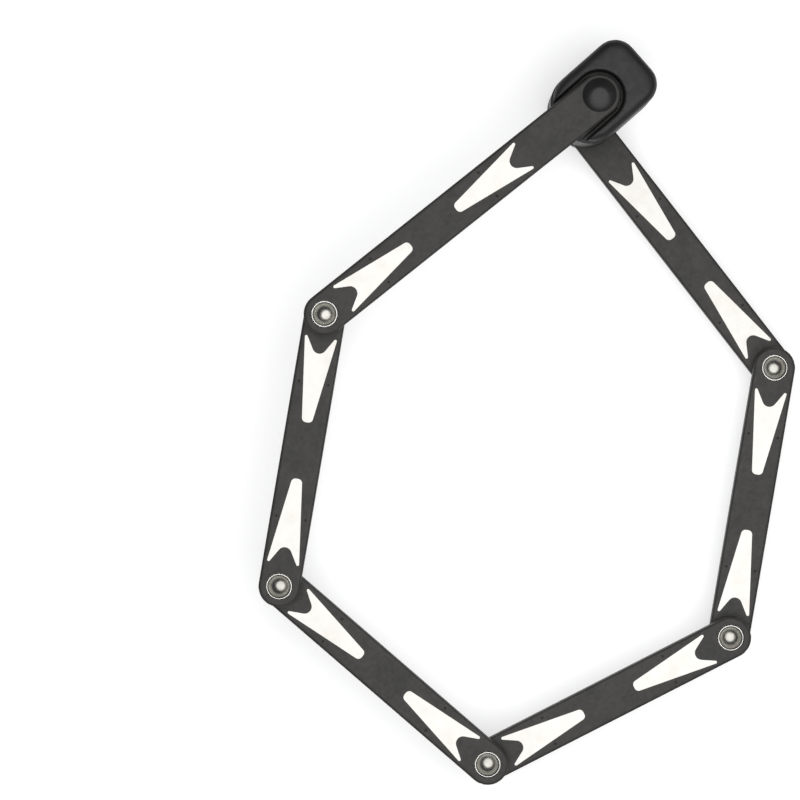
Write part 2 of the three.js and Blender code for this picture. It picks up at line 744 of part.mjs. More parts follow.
const lock = bodyPieces();
const lengths = [FIRST_LINK_LENGTH, LINK_LENGTH, LINK_LENGTH, LINK_LENGTH, LINK_LENGTH, LAST_LINK_LENGTH];
let parent = lock;
ringTurns().forEach((turn, index) => {
  const link = linkPieces(index, lengths[index]);
  link.rotation.z = turn;
  link.position.x = index === 0 ? 0 : lengths[index - 1];
  parent.add(link);
  parent = link;
});

// The origin is under the middle of the ring's footprint, level with its lowest point
const extent = new THREE.Box3().setFromObject(lock, true);
const middle = extent.getCenter(new THREE.Vector3());
lock.position.set(-middle.x, -middle.y, -extent.min.z);

const group = new THREE.Group();
group.add(lock);

export default group;
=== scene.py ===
import json
import math

import bpy
import numpy as np
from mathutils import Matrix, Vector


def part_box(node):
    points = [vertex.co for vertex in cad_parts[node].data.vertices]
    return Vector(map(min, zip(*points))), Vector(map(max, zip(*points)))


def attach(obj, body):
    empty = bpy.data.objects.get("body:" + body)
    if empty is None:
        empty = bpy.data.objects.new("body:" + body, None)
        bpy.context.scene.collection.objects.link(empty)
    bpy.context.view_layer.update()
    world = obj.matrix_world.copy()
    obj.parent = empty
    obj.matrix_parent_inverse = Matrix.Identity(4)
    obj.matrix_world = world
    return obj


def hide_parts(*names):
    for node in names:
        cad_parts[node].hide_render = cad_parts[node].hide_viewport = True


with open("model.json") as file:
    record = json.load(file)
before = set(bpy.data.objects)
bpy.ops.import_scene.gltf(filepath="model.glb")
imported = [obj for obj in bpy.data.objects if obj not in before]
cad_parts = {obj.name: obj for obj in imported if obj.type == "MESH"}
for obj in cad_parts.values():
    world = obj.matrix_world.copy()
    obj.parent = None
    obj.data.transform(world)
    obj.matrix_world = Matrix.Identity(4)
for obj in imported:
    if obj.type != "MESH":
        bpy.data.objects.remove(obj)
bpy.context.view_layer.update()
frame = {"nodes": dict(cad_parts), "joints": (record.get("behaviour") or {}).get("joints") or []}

import openvdb as vdb
from mathutils import Matrix, Vector

# A folding bike lock, opened into its closed ring. Lengths are in millimetres in each part's own
# axes, as in the CAD, and become metres when a mesh is made.

MM = 0.001
LINKS = "abcdef"

# Lock body
CROWN_X, MOUTH_X, CAP_MOUTH_X = -30.7, 25.7, 23.5
HALF_DEPTH, HEIGHT = 20.0, 58.5
CROWN_R, MOUTH_R, CAP_MOUTH_R = 12.0, 16.0, 15.0
END_FILLET, WALL, SEAM = 5.0, 2.0, 0.3
KEYHOLE_CAP_TOP, PIVOT_CAP_BOTTOM = 15.2, 51.2
RECESS_R, RECESS_FLOOR = 13.7, 53.0
SHOULDER_X, SHOULDER = 17.0, 2.0
SLOT_LOW, SLOT_HIGH, SLOT_CEILING, SLOT_EASED, SLOT_EASE_Y = 11.7, 20.3, 1.3, -1.5, 8.0
BADGE_X, BADGE_LOW, BADGE_HIGH, BADGE_R, BADGE_DEPTH = -11.6, 16.8, 50.3, 6.1, 0.8
KEY_X, KEYHOLE_R, KEYHOLE_FLOOR = -11.0, 5.0, 1.6
POST_ROOT_R = 4.85
SCREW_X, SCREW_Y, SCREW_SHANK_R, SCREW_HEAD_R, SCREW_SEAT = -4.0, 8.0, 1.7, 2.9, 51.8
MOAT_R, MOAT_TUBE_R = 12.45, 1.3
EDGE, OPENING_EDGE = 0.45, 0.7
FAR = 60.0

# Pivot cover and washers
DOME_R, DOME_UNDER_R, DISH_R, DISH_DEPTH = 9.1, 7.55, 4.4, 0.3
PIVOT_WASHER_INNER, PIVOT_WASHER_OUTER, SPACER_R = 5.15, 7.7, 6.7

# Links
LINK_R, LINK_HALF, PLATE_HALF = 11.3, 3.6, 2.5
COVER_WALL, COVER_ROUND = 1.05, 1.45
WINDOW_R, PIVOT_WINDOW_R, FIT = 7.0, 8.0, 0.15
COVER_SETBACK, SHOULDER_SETBACK = 9.0, 8.2
EYE_R, EYE_HOLE_R = 8.5, 4.7
SHORT_LINK = 150.0

# Rivets
HEAD_R, BEAD_R, SHANK_R, HOLE_R = 6.9, 0.26, 5.65, 5.9
LEDGE_R, LEDGE_DEPTH = 5.42, 0.66
WELL_R, WELL_DEPTH, BUTTON_SLOPE = 5.2, 2.0, math.radians(40)

# Shutter
SHUTTER_PIVOT, SHUTTER_SWING, NUB_X, NUB_R, NUB_REACH = (-7.0, 12.0), math.pi / 3, -3.4, 1.35, 1.7


# --- where things are -----------------------------------------------------------------------

joints = {j["name"]: j for j in frame["joints"]}


def joint_xy(name):
    return Vector(joints[name]["pos_m"][:2])


body_at = Vector((*joint_xy("body_pivot"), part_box("keyhole_cap")[0].z))
body_frame = Matrix.Translation(body_at)
hinges = [joint_xy(n) for n in ("body_pivot", "hinge_1", "hinge_2", "hinge_3", "hinge_4", "hinge_5")]
hinges.append(joint_xy("bolt_slide"))
link_length = [(hinges[i + 1] - hinges[i]).length / MM for i in range(6)]


def link_z(i):
    low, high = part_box("link_plate_" + LINKS[i])
    return (low.z + high.z) / 2


def turn_of(i):
    along = hinges[i + 1] - hinges[i]
    return math.atan2(along.y, along.x)


def link_frame(i):
    return Matrix.Translation((*hinges[i], link_z(i))) @ Matrix.Rotation(turn_of(i), 4, "Z")


# --- distance fields ------------------------------------------------------------------------

# How far nearly flat faces are merged when a field becomes a mesh
FLAT_MERGE = 0.25


class Grid:
    """A block of evenly spaced points; x, y and z broadcast against each other."""

    def __init__(self, low, high, step):
        self.low = np.array(low, float)
        self.step = step
        axes = [np.arange(a, b + step, step, dtype=np.float32) for a, b in zip(low, high)]
        self.x = axes[0][:, None, None]
        self.y = axes[1][None, :, None]
        self.z = axes[2][None, None, :]


def both(a, b, radius=0.0):
    """Inside a and b, with the edge between them rounded."""
    if radius == 0:
        return np.maximum(a, b)
    inner = np.minimum(np.maximum(a, b), -radius)
    return inner + np.hypot(np.maximum(a + radius, 0), np.maximum(b + radius, 0))


def either(a, b, radius=0.0):
    return -both(-a, -b, radius)


def cut(a, b, radius=0.0):
    return both(a, -b, radius)


def between(v, low, high):
    return np.maximum(low - v, v - high)


def disc(g, x, y, radius):
    return np.hypot(g.x - x, g.y - y) - radius


def bar2(u, v, length, radius):
    """A straight bar with round ends, from the origin along u."""
    return np.hypot(u - np.clip(u, 0, length), v) - radius


def segment(g, a, b, radius):
    along = np.array(b, float) - np.array(a, float)
    u = ((g.x - a[0]) * along[0] + (g.y - a[1]) * along[1]) / (along @ along)
    u = np.clip(u, 0, 1)
    return np.hypot(g.x - a[0] - u * along[0], g.y - a[1] - u * along[1]) - radius


def body_outline(g, mouth=MOUTH_X, mouth_r=MOUTH_R):
    middle, half = (CROWN_X + mouth) / 2, (mouth - CROWN_X) / 2
    radius = np.where(g.x > middle, mouth_r, CROWN_R)
    u = np.abs(g.x - middle) - half + radius
    v = np.abs(g.y) - HALF_DEPTH + radius
    return np.minimum(np.maximum(u, v), 0) + np.hypot(np.maximum(u, 0), np.maximum(v, 0)) - radius


def mesh_from_field(name, d, grid):
    """The surface where d is zero, as a mesh in metres."""
    band = 3 * grid.step
    volume = vdb.FloatGrid(band)
    volume.copyFromArray(np.clip(d, -band, band).astype(np.float32), tolerance=1e-6)
    points, triangles, quads = volume.convertToPolygons(isovalue=0.0, adaptivity=FLAT_MERGE)
    points = (points * grid.step + grid.low) * MM
    return finished_mesh(name, points, triangles.tolist() + quads.tolist())


def finished_mesh(name, points, faces):
    """A closed mesh with its faces turned outwards."""
    mesh = bpy.data.meshes.new(name)
    mesh.from_pydata(np.asarray(points, float).tolist(), [], faces)
    mesh.validate()
    mesh.update()
    mesh.calc_loop_triangles()
    corners = np.zeros(len(mesh.loop_triangles) * 3, np.int32)
    mesh.loop_triangles.foreach_get("vertices", corners)
    a, b, c = np.asarray(points, float)[corners.reshape(-1, 3)].transpose(1, 0, 2)
    if (a * np.cross(b, c)).sum() < 0:
        mesh.flip_normals()
    mesh.shade_smooth()
    return mesh


# --- turned and flat pieces -----------------------------------------------------------------


def lathe(name, profile, sides=96):
    """A closed solid turned about Z from [radius, z] pairs, from pole to pole or back to the start."""
    points, rings = [], []
    for r, z in profile:
        if r < 1e-6:
            rings.append([len(points)])
            points.append((0, 0, z * MM))
            continue
        rings.append(list(range(len(points), len(points) + sides)))
        for k in range(sides):
            angle = 2 * math.pi * k / sides
            points.append((r * math.cos(angle) * MM, r * math.sin(angle) * MM, z * MM))
    faces = []
    pairs = list(zip(rings, rings[1:]))
    if len(rings[0]) > 1:
        pairs.append((rings[-1], rings[0]))
    for lower, upper in pairs:
        if len(lower) == 1 and len(upper) == 1:
            continue
        for k in range(sides):
            n = (k + 1) % sides
            if len(lower) == 1:
                faces.append((lower[0], upper[n], upper[k]))
            elif len(upper) == 1:
                faces.append((lower[k], lower[n], upper[0]))
            else:
                faces.append((lower[k], lower[n], upper[n], upper[k]))
    return finished_mesh(name, points, faces)


def arc(cx, cz, radius, start, end, steps=6):
    """Points [r, z] round an arc, with angles in degrees from the r axis."""
    angles = [math.radians(start + (end - start) * k / steps) for k in range(steps + 1)]
    return [(cx + radius * math.cos(a), cz + radius * math.sin(a)) for a in angles]


def filleted(corners, steps=8):
    """A closed outline through (x, y, radius) corners, each rounded by its radius."""
    out = []
    for i, (x, y, r) in enumerate(corners):
        here = Vector((x, y))
        back = (Vector(corners[i - 1][:2]) - here).normalized()
        on = (Vector(corners[(i + 1) % len(corners)][:2]) - here).normalized()
        half = back.angle(on) / 2
        centre = here + (back + on).normalized() * (r / math.sin(half))
        a = here + back * (r / math.tan(half)) - centre
        b = here + on * (r / math.tan(half)) - centre
        start, sweep = math.atan2(a.y, a.x), a.angle_signed(b)
        for k in range(steps + 1):
            angle = start - sweep * k / steps
            out.append((centre.x + r * math.cos(angle), centre.y + r * math.sin(angle)))
    return out


def inset(outline, amount):
    out = []
    n = len(outline)
    for i in range(n):
        before, here, after = (Vector(outline[(i + k) % n]) for k in (-1, 0, 1))
        first, second = (here - before).normalized(), (after - here).normalized()
        normal = Vector((-(first.y + second.y), first.x + second.x)).normalized()
        spread = max(0.5, normal.dot(Vector((-first.y, first.x))))
        out.append(tuple(here + normal * amount / spread))
    return out


def slab(name, outline, low, high, top, steps=4):
    """An outline raised from low to high, with its top rim rounded by that radius."""
    levels = [(0.0, low)]
    for k in range(steps + 1):
        angle = math.pi / 2 * k / steps
        levels.append((top * (1 - math.cos(angle)), high - top * (1 - math.sin(angle))))
    points, n = [], len(outline)
    for amount, z in levels:
        ring = inset(outline, amount) if amount > 1e-9 else outline
        points += [(x * MM, y * MM, z * MM) for x, y in ring]
    faces = [tuple(range(n - 1, -1, -1)), tuple(range(len(points) - n, len(points)))]
    for level in range(len(levels) - 1):
        a, b = level * n, level * n + n
        faces += [(a + k, a + (k + 1) % n, b + (k + 1) % n, b + k) for k in range(n)]
    mesh = finished_mesh(name, points, faces)
    for polygon in list(mesh.polygons)[:2]:
        polygon.use_smooth = False
    return mesh


# --- materials ------------------------------------------------------------------------------


class Shader:
    """A Principled material and the few node patterns that the finishes are made from."""

    def __init__(self, name, turn=0.0, **sockets):
        self.material = bpy.data.materials.new(name)
        self.material.use_nodes = True
        self.tree = self.material.node_tree
        self.bsdf = self.tree.nodes["Principled BSDF"]
        self.coords = self.tree.nodes.new("ShaderNodeTexCoord").outputs["Object"]
        if turn:
            mapping = self.node("Mapping", Rotation=(0, 0, -turn))
            self.tree.links.new(self.coords, mapping.inputs["Vector"])
            self.coords = mapping.outputs["Vector"]
        for socket, value in sockets.items():
            self.bsdf.inputs[socket.replace("_", " ")].default_value = value
        self.height = None

    def node(self, kind, **inputs):
        made = self.tree.nodes.new("ShaderNode" + kind)
        for socket, value in inputs.items():
            made.inputs[socket].default_value = value
        return made

    def stretched(self, scale):
        mapping = self.node("Mapping", Scale=scale)
        self.tree.links.new(self.coords, mapping.inputs["Vector"])
        return mapping.outputs["Vector"]

    def noise(self, size, detail=3.0, seed=0.0, stretch=(1, 1, 1)):
        """Noise whose features are about size millimetres across."""
        made = self.tree.nodes.new("ShaderNodeTexNoise")
        made.noise_dimensions = "4D"
        made.inputs["W"].default_value = seed
        made.inputs["Scale"].default_value = 1 / (size * MM)
        made.inputs["Detail"].default_value = detail
        source = self.coords if stretch == (1, 1, 1) else self.stretched(stretch)
        self.tree.links.new(source, made.inputs["Vector"])
        return made.outputs["Fac"]

    def ramp(self, source, *stops):
        made = self.tree.nodes.new("ShaderNodeValToRGB")
        elements = made.color_ramp.elements
        while len(elements) < len(stops):
            elements.new(0.5)
        for element, (at, value) in zip(elements, stops):
            element.position = at
            colour = value if isinstance(value, tuple) else (value,) * 3
            element.color = (*colour, 1)
        self.tree.links.new(source, made.inputs["Fac"])
        return made.outputs["Color"]

    def mix(self, amount, a, b):
        made = self.tree.nodes.new("ShaderNodeMix")
        made.data_type = "RGBA"
        for socket, value in ((0, amount), (6, a), (7, b)):
            if isinstance(value, bpy.types.NodeSocket):
                self.tree.links.new(value, made.inputs[socket])
            else:
                made.inputs[socket].default_value = value
        return made.outputs[2]

    def colour(self, source):
        self.tree.links.new(source, self.bsdf.inputs["Base Color"])

    def roughness(self, source):
        self.tree.links.new(source, self.bsdf.inputs["Roughness"])

    def bump(self, source, depth):
        """Adds bump of that depth in millimetres to what is there already."""
        made = self.node("Bump", Strength=1.0, Distance=depth * MM)
        self.tree.links.new(source, made.inputs["Height"])
        if self.height is not None:
            self.tree.links.new(self.height, made.inputs["Normal"])
        self.height = made.outputs["Normal"]
        self.tree.links.new(self.height, self.bsdf.inputs["Normal"])


def grey(value):
    return (value, value, value)


def casing_material(name="casing_plastic", seed=0.0, low=0.009, high=0.016, rough=(0.42, 0.55), grain=0.02):
    s = Shader(name, IOR=1.46, Specular_IOR_Level=0.28)
    cloud = s.noise(14, 4, seed)
    s.colour(s.ramp(cloud, (0.35, grey(low)), (0.65, (high, high * 0.98, high * 0.95))))
    s.roughness(s.ramp(s.noise(3.5, 5, seed + 3), (0.35, rough[0]), (0.7, rough[1])))
    s.bump(s.noise(0.45, 2, seed + 5), grain)
    s.bump(s.noise(6, 2, seed + 7), 0.02)
    return s.material


def vinyl_material(seed, turn):
    s = Shader("vinyl_%d" % seed, turn, IOR=1.45, Specular_IOR_Level=0.33)
    cloud = s.noise(11, 5, seed)
    streak = s.noise(1.6, 4, seed + 20, (0.16, 1, 1))
    base = s.ramp(cloud, (0.32, (0.017, 0.016, 0.015)), (0.68, (0.026, 0.0245, 0.0225)))
    s.colour(s.mix(s.ramp(streak, (0.55, 0.0), (0.8, 0.25)), base, (0.045, 0.042, 0.039, 1)))
    s.roughness(s.ramp(s.noise(2.2, 5, seed + 9), (0.3, 0.44), (0.7, 0.58)))
    s.bump(s.noise(0.5, 3, seed + 11), 0.016)
    s.bump(s.noise(9, 2, seed + 13, (0.4, 1, 1)), 0.05)
    return s.material


def arrow_material(seed):
    s = Shader("arrow_white_%d" % seed, IOR=1.46)
    cloud = s.noise(7, 4, seed)
    s.colour(s.ramp(cloud, (0.3, (0.74, 0.72, 0.67)), (0.7, (0.82, 0.805, 0.765))))
    s.roughness(s.ramp(s.noise(2.5, 4, seed + 2), (0.3, 0.42), (0.7, 0.6)))
    s.bump(s.noise(0.6, 3, seed + 4), 0.012)
    return s.material


def metal_material(name, low, high, rough, seed=0.0, grain=0.0, stretch=(1, 1, 1), size=4.0):
    s = Shader(name, Metallic=1.0)
    s.colour(s.ramp(s.noise(size, 4, seed, stretch), (0.35, low), (0.65, high)))
    s.roughness(s.ramp(s.noise(size * 0.4, 5, seed + 3, stretch), (0.3, rough[0]), (0.7, rough[1])))
    if grain:
        s.bump(s.noise(0.3, 3, seed + 5, stretch), grain)
    return s.material


casing = casing_material()
cap_casing = casing_material("cap_plastic", 40)
dome_plastic = casing_material("dome_plastic", 60, 0.010, 0.016, (0.26, 0.34), 0.006)
badge_face = casing_material("badge_plastic", 80, 0.009, 0.014, (0.24, 0.33), 0.004)
black_zinc = metal_material("black_zinc", (0.03, 0.03, 0.031), (0.06, 0.06, 0.06), (0.38, 0.55), 4, 0.03)
black_oxide = metal_material("black_oxide", (0.012, 0.012, 0.012), (0.026, 0.026, 0.026), (0.4, 0.6), 7, 0.02)
nickel = metal_material("nickel", (0.62, 0.615, 0.585), (0.73, 0.725, 0.69), (0.18, 0.3), 11, 0.0015)
# Darker nickel that paints shade into the rivets' wells
well_shade_nickel = metal_material("well_shade_nickel", (0.25, 0.245, 0.225), (0.31, 0.305, 0.28), (0.2, 0.32), 13, 0.002)
tongue_nickel = metal_material(
    "tongue_nickel", (0.6, 0.59, 0.57), (0.72, 0.71, 0.68), (0.16, 0.3), 17, 0.003, (0.1, 1, 1), 3
)
steel = metal_material("steel", (0.3, 0.3, 0.3), (0.42, 0.42, 0.41), (0.26, 0.42), 21, 0.01)
brass = metal_material("brass", (0.5, 0.36, 0.13), (0.62, 0.46, 0.19), (0.22, 0.38), 31, 0.006)
spring_steel = metal_material(
    "spring_steel", (0.4, 0.4, 0.4), (0.55, 0.54, 0.52), (0.2, 0.3), 37, size=1.5
)


def olive_material():
    s = Shader("shutter_olive", IOR=1.46)
    s.colour(s.ramp(s.noise(4, 4, 2), (0.3, (0.27, 0.255, 0.05)), (0.7, (0.33, 0.31, 0.075))))
    s.roughness(s.ramp(s.noise(1.5, 4, 5), (0.3, 0.36), (0.7, 0.5)))
    s.bump(s.noise(0.4, 2, 8), 0.01)
    return s.material


# --- placing pieces -------------------------------------------------------------------------


def put(name, mesh, place, body, material, slot, *replaced):
    mesh.transform(place)
    mesh.materials.clear()
    mesh.materials.append(material)
    piece = bpy.data.objects.new(name, mesh)
    bpy.context.scene.collection.objects.link(piece)
    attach(piece, body)
    if replaced:
        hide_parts(*replaced)
    return piece


# --- the lock body --------------------------------------------------------------------------

BODY_STEP = 0.32


def slot_field(g):
    """The tongue's slot: round-topped at the badge side, eased higher at the back."""
    ease = np.clip((g.y - SLOT_EASE_Y) / (HALF_DEPTH - SLOT_EASE_Y), 0, 1)
    ceiling = SLOT_CEILING + (SLOT_EASED - SLOT_CEILING) * ease
    return both(between(g.z, SLOT_LOW, SLOT_HIGH), ceiling - g.x, 2.4)


def badge_field(g, grow=0.0):
    length = BADGE_HIGH - BADGE_LOW - 2 * BADGE_R
    flat = bar2(g.z - BADGE_LOW - BADGE_R, g.x - BADGE_X, length, BADGE_R + grow)
    return np.maximum(flat, g.y + HALF_DEPTH - BADGE_DEPTH)


def rounded_body(g, outline):
    """The outline raised to the body's height, with both end rims rounded."""
    return both(outline, np.abs(g.z - HEIGHT / 2) - HEIGHT / 2, END_FILLET)


def body_grid(z_low, z_high):
    low = (CROWN_X - 1.5, -HALF_DEPTH - 1.5, z_low - 1.5)
    return Grid(low, (MOUTH_X + 1.5, HALF_DEPTH + 1.5, z_high + 1.5), BODY_STEP)


def make_sleeve():
    low, high = KEYHOLE_CAP_TOP + SEAM / 2, PIVOT_CAP_BOTTOM - SEAM / 2
    g = body_grid(low, high)
    outline = body_outline(g)
    d = both(outline, between(g.z, low, high), EDGE)
    shoulder = both(SHOULDER_X - g.x, high - SHOULDER - g.z)
    d = cut(d, both(outline + WALL, -shoulder))
    d = cut(d, slot_field(g), OPENING_EDGE)
    d = cut(d, badge_field(g, 0.2), 0.35)
    return mesh_from_field("sleeve_shell", d, g)


def make_keyhole_cap():
    high = KEYHOLE_CAP_TOP - SEAM / 2
    g = body_grid(0, high)
    outline = body_outline(g)
    d = both(rounded_body(g, outline), g.z - high, EDGE)
    d = cut(d, both(outline + WALL, KEYHOLE_FLOOR - g.z, 1.8))
    d = cut(d, slot_field(g), OPENING_EDGE)
    d = cut(d, disc(g, KEY_X, 0, KEYHOLE_R), 0.6)
    px, py = SHUTTER_PIVOT
    reach = math.hypot(NUB_X - px, py)
    start = math.atan2(-py, NUB_X - px)
    angle = np.clip(np.arctan2(g.y - py, g.x - px), start, start + SHUTTER_SWING)
    track = np.hypot(g.x - px - reach * np.cos(angle), g.y - py - reach * np.sin(angle))
    groove = np.maximum(track - NUB_R - 0.3, g.z - KEYHOLE_FLOOR - 1)
    d = cut(d, groove, 0.3)
    return mesh_from_field("keyhole_shell", d, g)


def make_pivot_cap():
    low = PIVOT_CAP_BOTTOM + SEAM / 2
    g = body_grid(low, HEIGHT)
    outline = body_outline(g, CAP_MOUTH_X, CAP_MOUTH_R)
    d = both(rounded_body(g, outline), low - g.z, EDGE)
    recess = np.maximum(bar2(g.x, g.y, FAR, RECESS_R), RECESS_FLOOR - g.z)
    d = cut(d, recess, 1.1)
    moat = np.hypot(bar2(g.x, g.y, FAR, MOAT_R), g.z - RECESS_FLOOR - 0.1) - MOAT_TUBE_R
    d = cut(d, moat)
    d = cut(d, disc(g, 0, 0, POST_ROOT_R + 0.3), 0.3)
    for y in (-SCREW_Y, SCREW_Y):
        d = cut(d, disc(g, SCREW_X, y, SCREW_SHANK_R))
        d = cut(d, np.maximum(disc(g, SCREW_X, y, SCREW_HEAD_R), SCREW_SEAT - g.z), 0.2)
    return mesh_from_field("pivot_shell", d, g)


put("body_sleeve", make_sleeve(), body_frame, "body", casing, "casing", "sleeve")
put("body_keyhole_cap", make_keyhole_cap(), body_frame, "body", cap_casing, "casing", "keyhole_cap")
put("body_pivot_cap", make_pivot_cap(), body_frame, "body", cap_casing, "casing", "pivot_cap")


def make_badge():
    """The blank badge: a stadium with a shallow rounded rim, standing on the front face."""
    length = BADGE_HIGH - BADGE_LOW - 2 * BADGE_R
    r = BADGE_R - FIT
    ring = [(length + r * math.cos(a), r * math.sin(a)) for a in np.linspace(-math.pi / 2, math.pi / 2, 33)]
    ring += [(r * math.cos(a), r * math.sin(a)) for a in np.linspace(math.pi / 2, math.pi * 1.5, 33)]
    return slab("badge_blank", ring, 0, BADGE_DEPTH - FIT - 0.05, top=0.3)


badge_turn = Matrix.Rotation(math.pi / 2, 4, "X") @ Matrix.Rotation(math.pi / 2, 4, "Z")
badge_at = Vector((BADGE_X, -HALF_DEPTH + BADGE_DEPTH - FIT, BADGE_LOW + BADGE_R)) * MM
put(
    "badge_blank", make_badge(), body_frame @ Matrix.Translation(badge_at) @ badge_turn,
    "body", badge_face, "badge", "badge_plate",
)


# --- the pivot cover and washers ------------------------------------------------------------


def local_z(node):
    """A CAD node's lowest and highest Z above the body's own base, in millimetres."""
    low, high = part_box(node)
    return (low.z - body_at.z) / MM, (high.z - body_at.z) / MM


def make_dome():
    low, top = local_z("pivot_dome")
    height = top - low - 0.35
    sphere = (DOME_R ** 2 + height ** 2) / (2 * height)
    steep = math.asin(DOME_R / sphere)
    cap = []
    for k in range(25):
        angle = steep * (1 - k / 24)
        cap.append((sphere * math.sin(angle), top - sphere * (1 - math.cos(angle))))
    cap = [(r, z - DISH_DEPTH * max(0, 1 - (r / DISH_R) ** 2) ** 2) for r, z in cap]
    cap[-1] = (0, cap[-1][1])
    under = [(0, low + 1.0), (DOME_UNDER_R - 0.3, low + 1.0), (DOME_UNDER_R, low + 0.8), (DOME_UNDER_R, low)]
    rim = [(DOME_R - 0.25, low), (DOME_R, low + 0.12)]
    return lathe("dome_cover", under + rim + cap)


def make_washer(node, inner, outer, edge=0.15):
    low, high = local_z(node)
    return lathe(node + "_turned", [
        (inner, low), (outer - edge, low), (outer, low + edge), (outer, high - edge),
        (outer - edge, high), (inner + edge, high), (inner, high - edge),
    ])


put("pivot_cover", make_dome(), body_frame, "body", dome_plastic, "casing", "pivot_dome")
put(
    "pivot_washer_turned", make_washer("pivot_washer", PIVOT_WASHER_INNER, PIVOT_WASHER_OUTER),
    body_frame, "body", nickel, "nickel", "pivot_washer",
)


# --- the shutter and key plug ---------------------------------------------------------------


def make_shutter():
    px, py = SHUTTER_PIVOT
    g = Grid((-19, -5, -NUB_REACH - 0.6), (1.5, 16, 3.8), 0.14)
    low, high = 1.8, 3.1
    flat = either(disc(g, KEY_X, 0, 6.2), segment(g, (px, py), (KEY_X, 0), 2.6), 1.0)
    flat = either(flat, segment(g, (KEY_X, 0), (NUB_X, 0), 2.2), 1.0)
    d = both(flat, between(g.z, low, high), 0.2)
    nub = both(disc(g, NUB_X, 0, NUB_R), between(g.z, -NUB_REACH, low + 0.6), 0.7)
    d = either(d, nub, 0.15)
    d = cut(d, disc(g, px, py, 1.4), 0.15)
    return mesh_from_field("shutter_leaf", d, g)


def make_plug():
    low, high = local_z("key_plug")
    g = Grid((KEY_X - 7, -7, low - 0.8), (KEY_X + 7, 7, high + 0.8), 0.2)
    shank = both(disc(g, KEY_X, 0, 5.5), between(g.z, low, 22), 0.3)
    flange = both(disc(g, KEY_X, 0, 6.3), between(g.z, low, 5.1), 0.25)
    tail = both(disc(g, KEY_X, 0, 3.0), between(g.z, 20, high), 0.3)
    d = np.minimum(np.minimum(shank, flange), tail)
    way = np.maximum(np.maximum(np.abs(g.x - KEY_X) - 4, np.abs(g.y) - 1.1), g.z - 20)
    d = cut(d, way, 0.35)
    for k in range(3):
        bore = np.hypot(g.y, g.z - 8.5 - 4.5 * k) - 1.35
        d = cut(d, np.maximum(bore, g.x - KEY_X + 1))
    return mesh_from_field("plug_turned", d, g)


put("shutter_leaf", make_shutter(), body_frame, "shutter", olive_material(), "shutter", "shutter")
put("plug_turned", make_plug(), body_frame, "plug", brass, "brass", "key_plug")


# --- links ----------------------------------------------------------------------------------


GATE_X = 37.8
ARROW_CORNERS = [
    (59.5, -2.75, 2.4), (59.5, 2.75, 2.4), (9.8, 9.3, 0.8), (25.4, 0, 3.9), (9.8, -9.3, 0.8),
]


def make_cover(name, length, origins, near_window, is_last):
    low = (-LINK_R - 1, -LINK_R - 1, -LINK_HALF - 1)
    g = Grid(low, (length + LINK_R + 1, LINK_R + 1, LINK_HALF + 1), 0.3)
    outline = bar2(g.x, g.y, length, LINK_R)
    d = both(outline, np.abs(g.z) - LINK_HALF, COVER_ROUND)
    d = cut(d, np.maximum(outline + COVER_WALL - FIT, np.abs(g.z) - PLATE_HALF - FIT))
    d = cut(d, disc(g, 0, 0, near_window), 0.3)
    if is_last:
        d = both(d, g.x - length + COVER_SETBACK, 0.4)
    else:
        d = cut(d, disc(g, length, 0, WINDOW_R), 0.3)
    for origin, way in zip(origins, (1, -1)):
        for y in (-8, 8):
            pit = np.hypot(g.x - origin - way * GATE_X, g.y - y) - 0.5
            d = cut(d, np.maximum(pit, LINK_HALF - 0.5 - g.z), 0.15)
    return mesh_from_field(name, d, g)


def make_arrow():
    return slab("arrow_inlay", filleted(ARROW_CORNERS, 10), LINK_HALF - 0.35, LINK_HALF + 0.05, top=0.1)


cover_mesh = {}
arrow_mesh = make_arrow()
for i, letter in enumerate(LINKS):
    length = link_length[i]
    origins = (length - SHORT_LINK, length) if i == 0 else (0, SHORT_LINK)
    key = (round(length, 1), i == 5)
    if key not in cover_mesh:
        window = WINDOW_R if i else PIVOT_WINDOW_R
        cover_mesh[key] = make_cover("cover_" + letter, length, origins, window, i == 5)
    place = link_frame(i)
    seed = 3.0 + 7 * i
    put(
        "vinyl_cover_" + letter, cover_mesh[key].copy(), place, "link_" + letter,
        vinyl_material(seed, turn_of(i)), "vinyl", "link_cover_" + letter,
    )
    for origin, turned, end in ((origins[0], 0, "near"), (origins[1], math.pi, "far")):
        spot = Matrix.Translation((origin * MM, 0, 0)) @ Matrix.Rotation(turned, 4, "Z")
        put(
            "arrow_inlay_%s_%s" % (letter, end), arrow_mesh.copy(), place @ spot, "link_" + letter,
            arrow_material(seed + (1 if end == "near" else 2)), "arrow", "arrow_%s_%s" % (letter, end),
        )


def make_tongue_plate():
    """The last link's plate, whose bare end is the tongue with its eye."""
    length = link_length[5]
    half = LINK_R - COVER_WALL
    g = Grid((-half - 1, -half - 1, -PLATE_HALF - 1), (length + EYE_R + 1, half + 1, PLATE_HALF + 1), 0.26)
    wide = both(bar2(g.x, g.y, length, half), g.x - length + SHOULDER_SETBACK)
    outline = either(wide, bar2(g.x, g.y, length, EYE_R), 0.6)
    d = both(outline, np.abs(g.z) - PLATE_HALF, 0.9)
    d = cut(d, disc(g, length, 0, EYE_HOLE_R), 0.8)
    d = cut(d, disc(g, 0, 0, HOLE_R), 0.2)
    return mesh_from_field("tongue_plate", d, g)


put("tongue_plate", make_tongue_plate(), link_frame(5), "link_f", tongue_nickel, "nickel", "link_plate_f")


# --- hinge rivets and spacers ---------------------------------------------------------------


